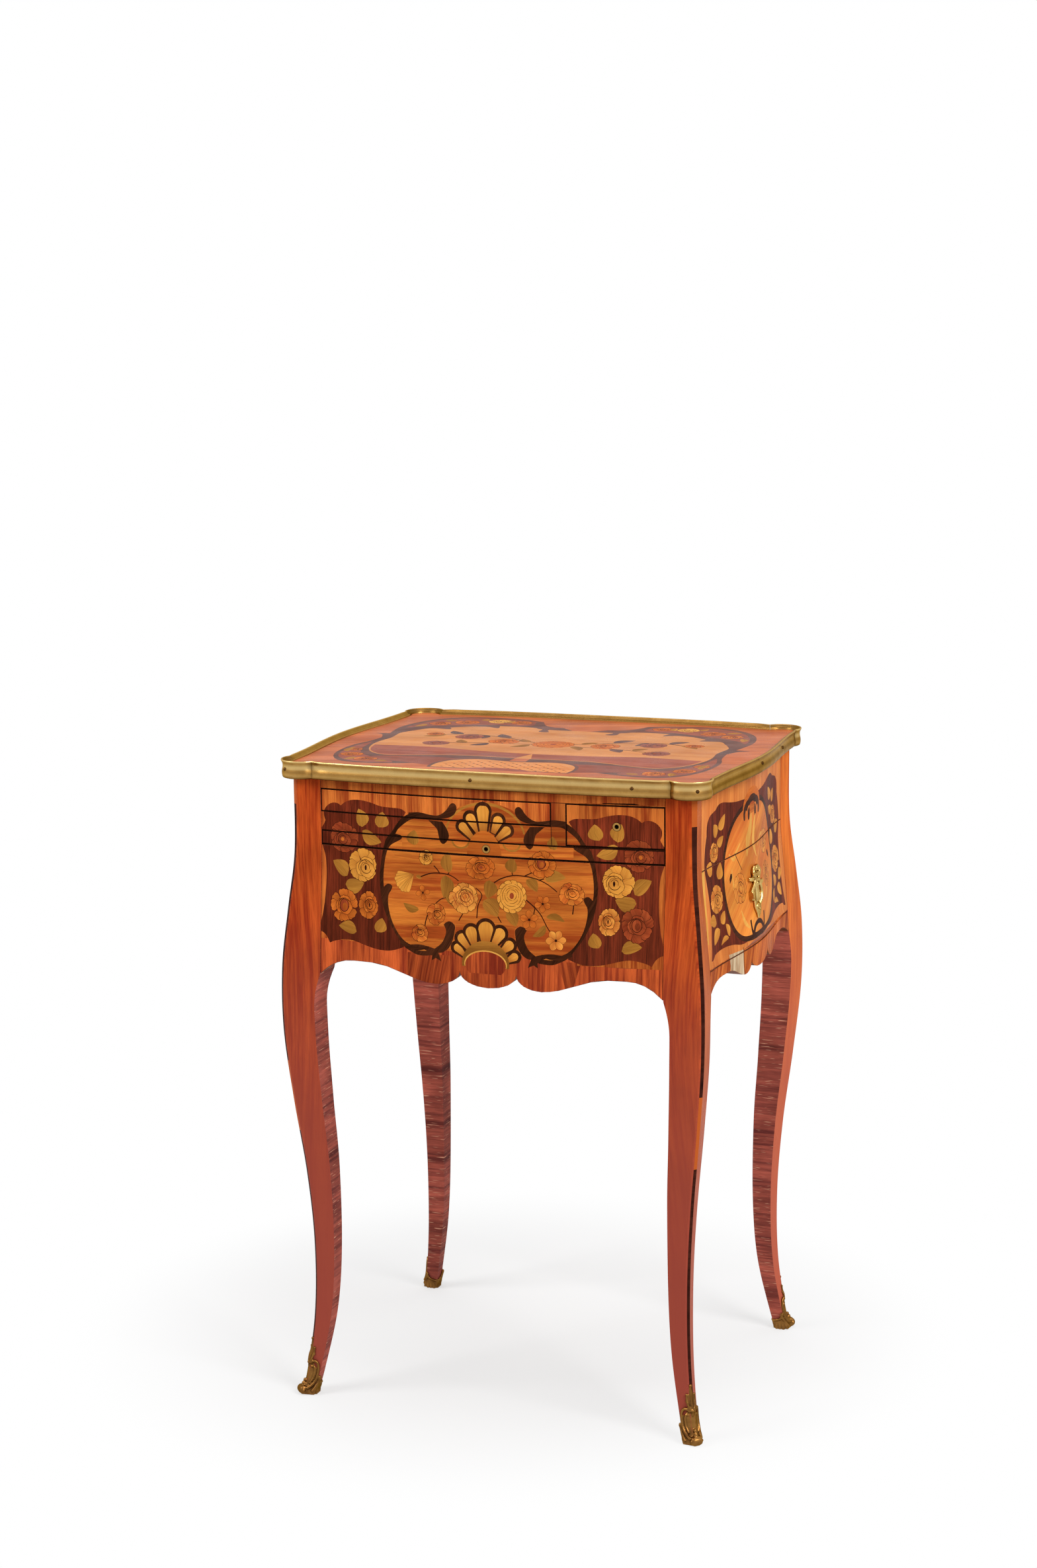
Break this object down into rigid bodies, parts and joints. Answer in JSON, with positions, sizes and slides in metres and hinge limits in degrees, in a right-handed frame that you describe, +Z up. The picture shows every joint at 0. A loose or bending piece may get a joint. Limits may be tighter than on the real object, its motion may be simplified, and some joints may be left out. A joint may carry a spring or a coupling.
{
  "type": "writing table",
  "caption": "Small writing table on cabriole legs with a brass-rimmed top, scalloped aprons, a paper drawer, an ink drawer, a pull-out writing slide and a deep side drawer with lock.",
  "frame": {"origin": "on the floor under the middle of the table", "axes": "+Z up, +X to the right along the front, the front faces -Y"},
  "size_m": [0.4912, 0.4028, 0.7],
  "materials": {
    "tulipwood": "french polished tulipwood veneer",
    "marquetry": "french polished floral marquetry on tulipwood and amaranth",
    "oak": "plain waxed oak",
    "gilt_brass": "worn gilt brass",
    "lock_steel": "dull iron",
    "leather": "brown hide with a tooled border"
  },
  "bodies": {
    "case": {"leg_front_left": "tulipwood", "leg_front_right": "tulipwood", "leg_back_left": "tulipwood", "leg_back_right": "tulipwood", "sabot_front_left": "gilt_brass", "sabot_front_right": "gilt_brass", "sabot_back_left": "gilt_brass", "sabot_back_right": "gilt_brass", "front_panel": "marquetry", "back_panel": "marquetry", "left_panel": "marquetry", "right_lower_rail": "marquetry", "right_upper_rail": "marquetry", "top_rail": "tulipwood", "middle_rail": "marquetry", "drawer_divider": "tulipwood", "bottom_board": "oak", "dust_board": "oak", "tray_board": "oak", "paper_bearer": "oak", "partition": "oak", "top_board": "marquetry", "rim_front": "gilt_brass", "rim_back": "gilt_brass", "rim_left": "gilt_brass", "rim_right": "gilt_brass", "rim_front_left": "gilt_brass", "rim_front_right": "gilt_brass", "rim_back_left": "gilt_brass", "rim_back_right": "gilt_brass"},
    "paper_drawer": {"paper_drawer_front": "marquetry", "paper_drawer_side_left": "oak", "paper_drawer_side_right": "oak", "paper_drawer_bottom": "oak", "paper_drawer_back": "oak"},
    "ink_drawer": {"ink_drawer_front": "marquetry", "ink_drawer_side_left": "oak", "ink_drawer_side_right": "oak", "ink_drawer_bottom": "oak", "ink_drawer_back": "oak", "ink_lock_case": "lock_steel", "ink_keyhole_ring": "gilt_brass"},
    "ink_bolt": {"ink_lock_bolt": "gilt_brass"},
    "writing_slide": {"writing_slide_front": "marquetry", "writing_slide_board": "oak", "writing_slide_leather": "leather", "slide_lock_case": "lock_steel", "slide_keyhole_ring": "gilt_brass"},
    "slide_bolt": {"slide_lock_bolt": "gilt_brass"},
    "side_drawer": {"side_drawer_front": "marquetry", "side_drawer_side_left": "oak", "side_drawer_side_right": "oak", "side_drawer_bottom": "oak", "side_drawer_back": "oak", "side_lock_case": "lock_steel", "side_escutcheon": "gilt_brass"},
    "side_bolt": {"side_lock_bolt": "gilt_brass"}
  },
  "joints": [
    {"name": "paper_drawer_pull", "type": "slide", "parent": "case", "child": "paper_drawer", "axis": [0, -1, 0], "range_m": [0, 0.22]},
    {"name": "ink_drawer_pull", "type": "slide", "parent": "case", "child": "ink_drawer", "axis": [0, -1, 0], "range_m": [0, 0.22]},
    {"name": "writing_slide_pull", "type": "slide", "parent": "case", "child": "writing_slide", "axis": [0, -1, 0], "range_m": [0, 0.22]},
    {"name": "side_drawer_pull", "type": "slide", "parent": "case", "child": "side_drawer", "axis": [1, 0, 0], "range_m": [0, 0.28]},
    {"name": "ink_bolt_throw", "type": "slide", "parent": "ink_drawer", "child": "ink_bolt", "axis": [0, 0, 1], "range_m": [0, 0.005]},
    {"name": "slide_bolt_throw", "type": "slide", "parent": "writing_slide", "child": "slide_bolt", "axis": [0, 0, 1], "range_m": [0, 0.005]},
    {"name": "side_bolt_throw", "type": "slide", "parent": "side_drawer", "child": "side_bolt", "axis": [0, 0, 1], "range_m": [0, 0.005]}
  ]
}
